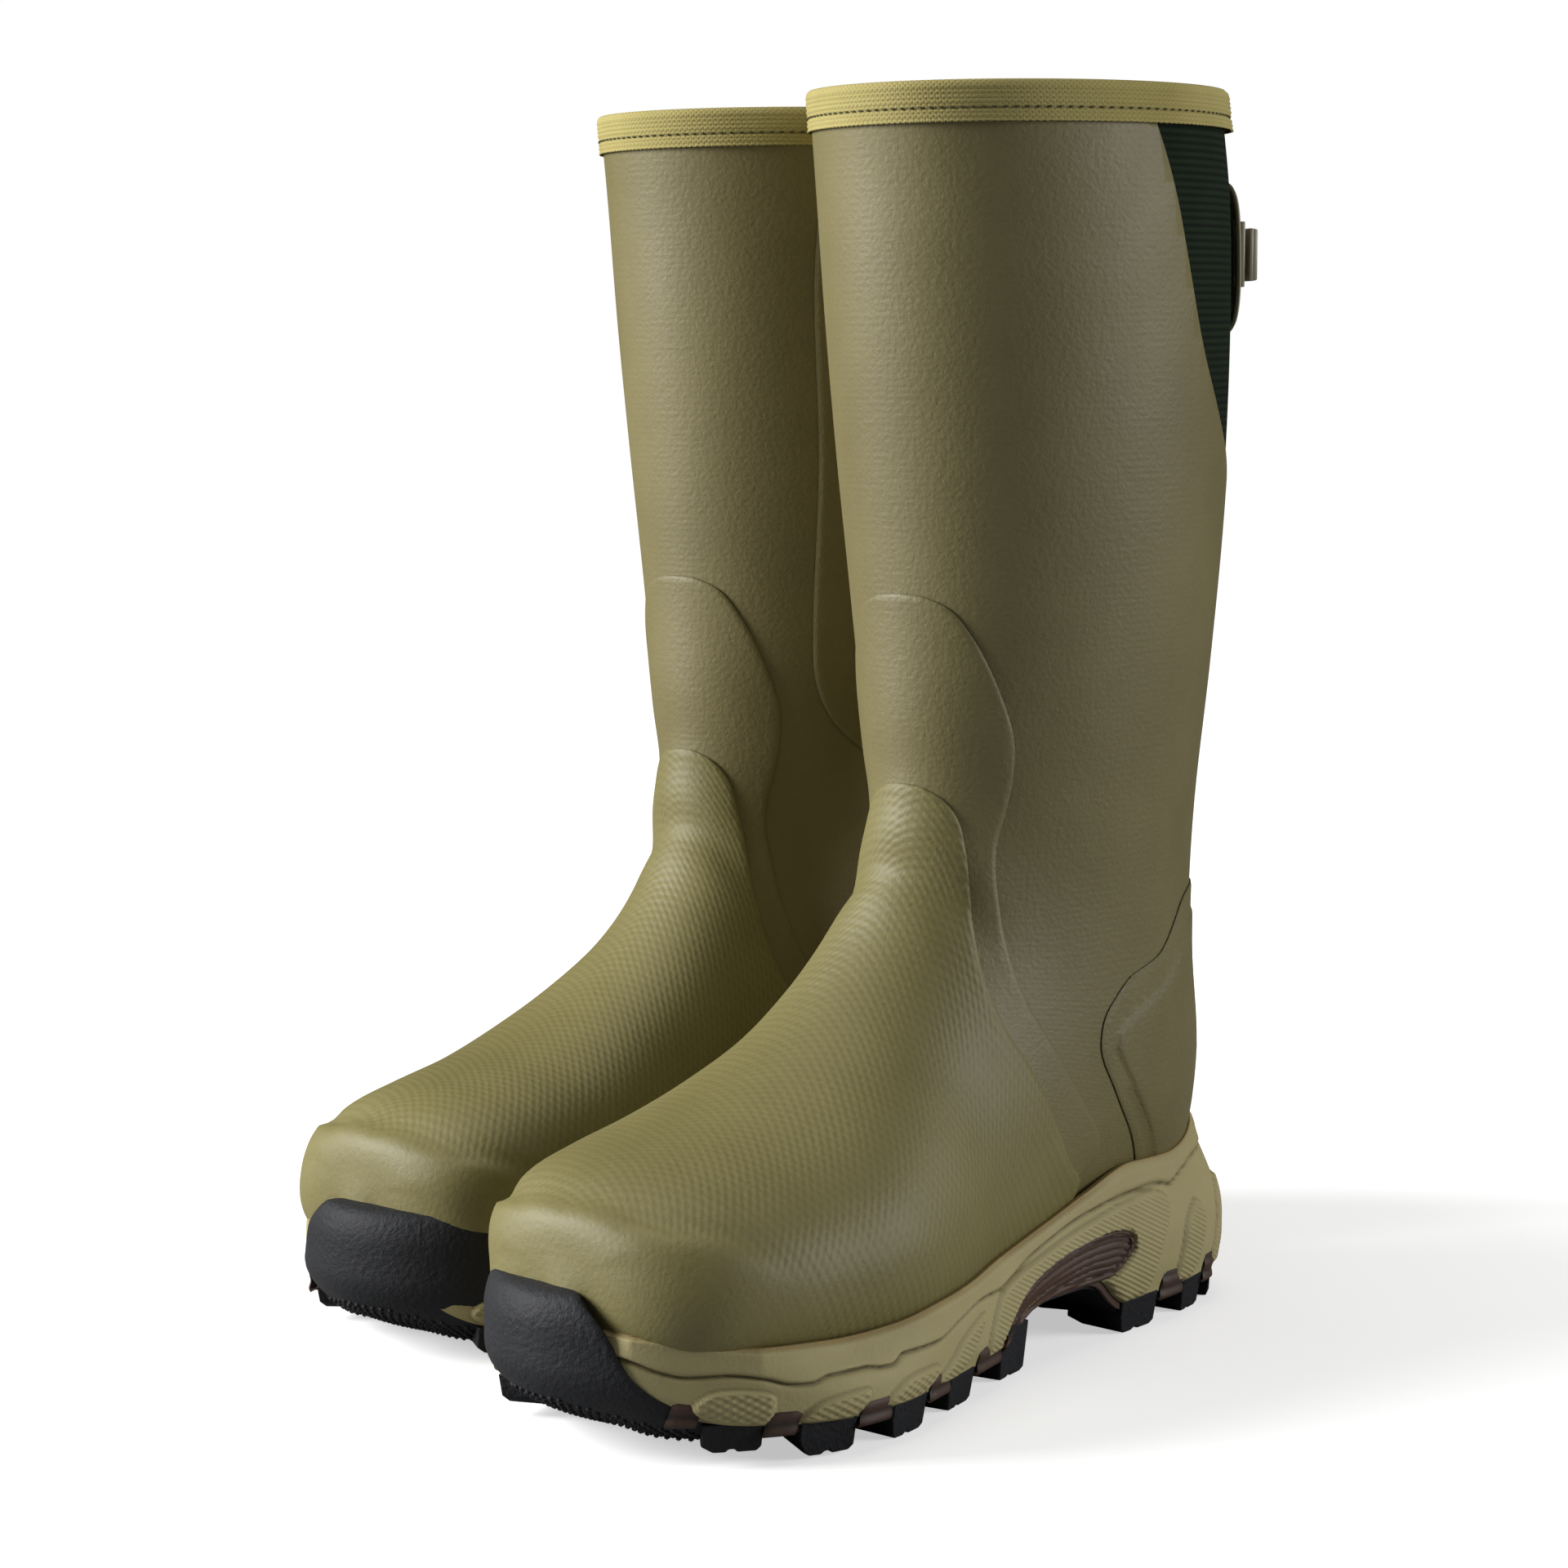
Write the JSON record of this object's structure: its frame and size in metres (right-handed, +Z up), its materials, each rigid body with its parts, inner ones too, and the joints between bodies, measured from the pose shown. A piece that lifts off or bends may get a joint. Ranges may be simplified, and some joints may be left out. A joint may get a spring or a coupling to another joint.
{
  "type": "insulated hunting boots",
  "caption": "Pair of knee-high insulated rubber boots with lugged soles, bonded overlays, a stretch side gusset and a strap with a lever buckle behind the calf.",
  "frame": {"origin": "middle of the pair on the floor, at the bottom of the lugs", "axes": "+Z up out of the boots and the longest way, toes towards -Y, the wearer's left boot at +X"},
  "size_m": [0.2738, 0.3658, 0.4316],
  "materials": {
    "shell_rubber": "satin, fine leather-like grain",
    "overlay_rubber": "satin, fine grain",
    "vamp_rubber": "satin, small woven diamond texture",
    "liner_foam": "soft knit over foam",
    "footbed_foam": "brushed fabric over foam",
    "gusset_knit": "ribbed stretch knit",
    "binding_tape": "fine ribbed knit tape",
    "tab_rubber": "matte",
    "strap_webbing": "woven webbing",
    "buckle_plastic": "matte",
    "midsole_foam": "matte, fine grain",
    "brown_rubber": "matte, grooved",
    "black_rubber": "matte, fine grain"
  },
  "bodies": {
    "left_boot": {"left_vamp_shell": "shell_rubber", "left_ankle_shell": "shell_rubber", "left_shaft_shell": "shell_rubber", "left_liner": "liner_foam", "left_footbed": "footbed_foam", "left_shin_overlay": "overlay_rubber", "left_vamp_overlay": "vamp_rubber", "left_heel_overlay": "overlay_rubber", "left_rub_guard": "overlay_rubber", "left_gusset": "gusset_knit", "left_rim_binding": "binding_tape", "left_outer_tab": "tab_rubber", "left_inner_tab": "tab_rubber", "left_strap": "strap_webbing", "left_buckle_frame": "buckle_plastic", "left_midsole": "midsole_foam", "left_arch_shank": "brown_rubber", "left_toe_bumper": "black_rubber", "left_tread_base": "brown_rubber", "left_outsole": "black_rubber"},
    "left_lever": {"left_buckle_lever": "buckle_plastic"},
    "right_boot": {"right_vamp_shell": "shell_rubber", "right_ankle_shell": "shell_rubber", "right_shaft_shell": "shell_rubber", "right_liner": "liner_foam", "right_footbed": "footbed_foam", "right_shin_overlay": "overlay_rubber", "right_vamp_overlay": "vamp_rubber", "right_heel_overlay": "overlay_rubber", "right_rub_guard": "overlay_rubber", "right_gusset": "gusset_knit", "right_rim_binding": "binding_tape", "right_outer_tab": "tab_rubber", "right_inner_tab": "tab_rubber", "right_strap": "strap_webbing", "right_buckle_frame": "buckle_plastic", "right_midsole": "midsole_foam", "right_arch_shank": "brown_rubber", "right_toe_bumper": "black_rubber", "right_tread_base": "brown_rubber", "right_outsole": "black_rubber"},
    "right_lever": {"right_buckle_lever": "buckle_plastic"}
  },
  "joints": [
    {"name": "right_boot_slide", "type": "slide", "parent": "left_boot", "child": "right_boot", "axis": [-1, 0, 0], "range_m": [0, 0.2]},
    {"name": "left_lever_hinge", "type": "hinge", "parent": "left_boot", "child": "left_lever", "pos_m": [0.08451, 0.1448, 0.376], "axis": [0, 0, 1], "range_deg": [0, 75]},
    {"name": "right_lever_hinge", "type": "hinge", "parent": "right_boot", "child": "right_lever", "pos_m": [-0.08451, 0.1788, 0.376], "axis": [0, 0, -1], "range_deg": [0, 75]}
  ]
}
